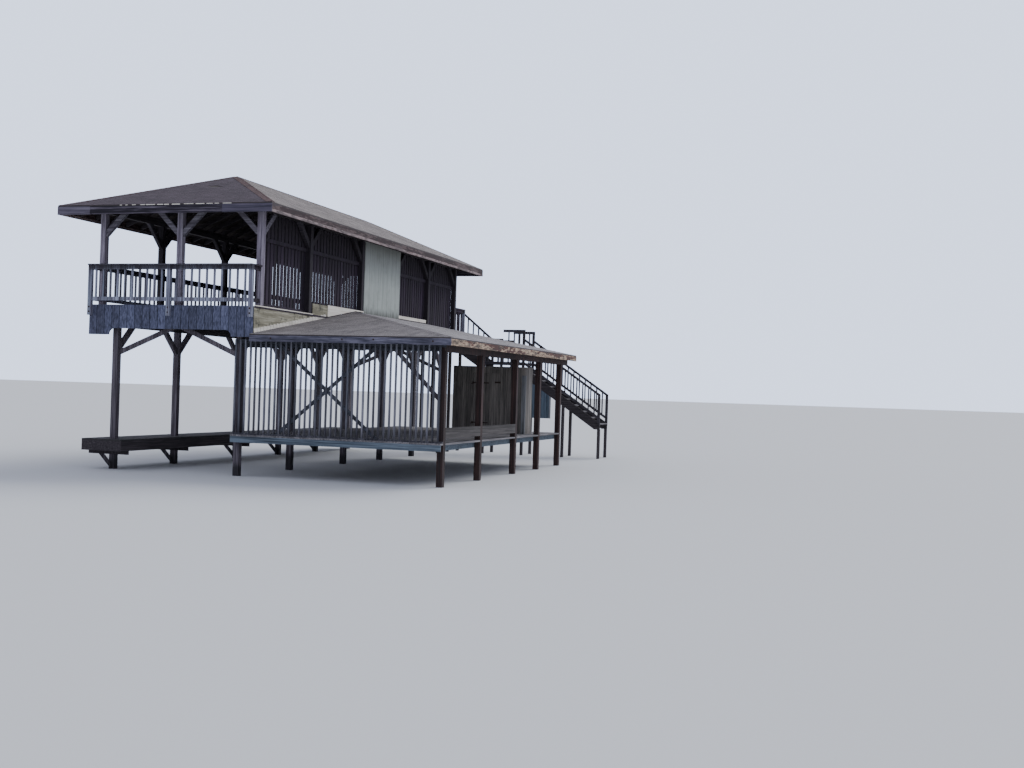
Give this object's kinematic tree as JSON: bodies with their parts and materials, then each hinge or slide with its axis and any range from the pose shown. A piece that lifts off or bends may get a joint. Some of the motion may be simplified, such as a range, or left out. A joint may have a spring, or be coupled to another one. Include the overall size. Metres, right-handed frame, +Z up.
{
  "type": "boathouse",
  "caption": "Two-storey timber boathouse: hip-roofed deck with railings over a boat slip, a lean-to roof over a slat-screened patio deck, a storage closet and a far stair.",
  "frame": {"origin": "middle of the building's plan, at the level of the feet of its posts", "axes": "+X towards the bank, across the slip; +Y away from the near end with the arched skirt; +Z up"},
  "size_m": [9.78, 15.678, 7.3234],
  "materials": {
    "lower_posts": "weathered pressure-treated post",
    "lean_posts": "dark red-brown stained post",
    "grey_boards": "weathered grey deck board",
    "blue_grey_boards": "blue-grey stained upright board",
    "slats": "worn blue-grey slat",
    "dark_boards": "dark stained board",
    "framing": "dark weathered framing timber",
    "store_boards": "grey painted upright boards",
    "upper_posts": "weathered grey-violet post",
    "shingles_near": "asphalt shingle",
    "shingles_low": "sun-bleached asphalt shingle",
    "fascia": "weathered fascia board",
    "peeled_fascia": "peeling red-brown fascia board",
    "grooved_panel": "pale grooved siding panel",
    "flashing": "cream painted base board",
    "plywood": "yellowed mouldy plywood",
    "door": "grey painted plank door"
  },
  "bodies": {
    "building": {"lake_posts": "lower_posts", "slip_posts": "lower_posts", "bank_posts": "lean_posts", "stair_posts": "framing", "walkway_deck": "grey_boards", "walkway_beams": "framing", "lower_deck": "grey_boards", "lower_deck_frame": "blue_grey_boards", "slat_screen": "slats", "storage_front_wall": "store_boards", "storage_header": "store_boards", "storage_side_walls": "store_boards", "storage_back_wall": "store_boards", "girders": "framing", "lower_braces": "lower_posts", "upper_deck_frame": "framing", "upper_deck": "grey_boards", "front_skirt": "blue_grey_boards", "bank_rim_panel": "plywood", "upper_posts": "upper_posts", "side_beams": "framing", "end_beams": "framing", "upper_braces": "upper_posts", "rafters": "framing", "ridge_and_hips": "framing", "roof": "shingles_near", "end_fascias": "fascia", "side_fascias": "peeled_fascia", "near_railing": "dark_boards", "lake_railing": "dark_boards", "far_railing": "dark_boards", "wall_slats": "dark_boards", "wall_rails": "dark_boards", "wall_panel": "grooved_panel", "wall_flashing": "flashing", "leanto_roof": "shingles_low", "leanto_rafters": "framing", "leanto_beam": "lean_posts", "leanto_near_fascia": "fascia", "leanto_bank_fascia": "peeled_fascia", "stair_stringers": "framing", "stair_treads": "grey_boards", "stair_platforms": "grey_boards", "stair_rails": "dark_boards", "stair_panel": "blue_grey_boards"},
    "storage_door_leaf": {"storage_door": "door"}
  },
  "joints": [
    {"name": "storage_door_hinge", "type": "hinge", "parent": "building", "child": "storage_door_leaf", "pos_m": [2.71, 0.151, 1.75], "axis": [0, 0, -1], "range_deg": [0, 100]}
  ]
}
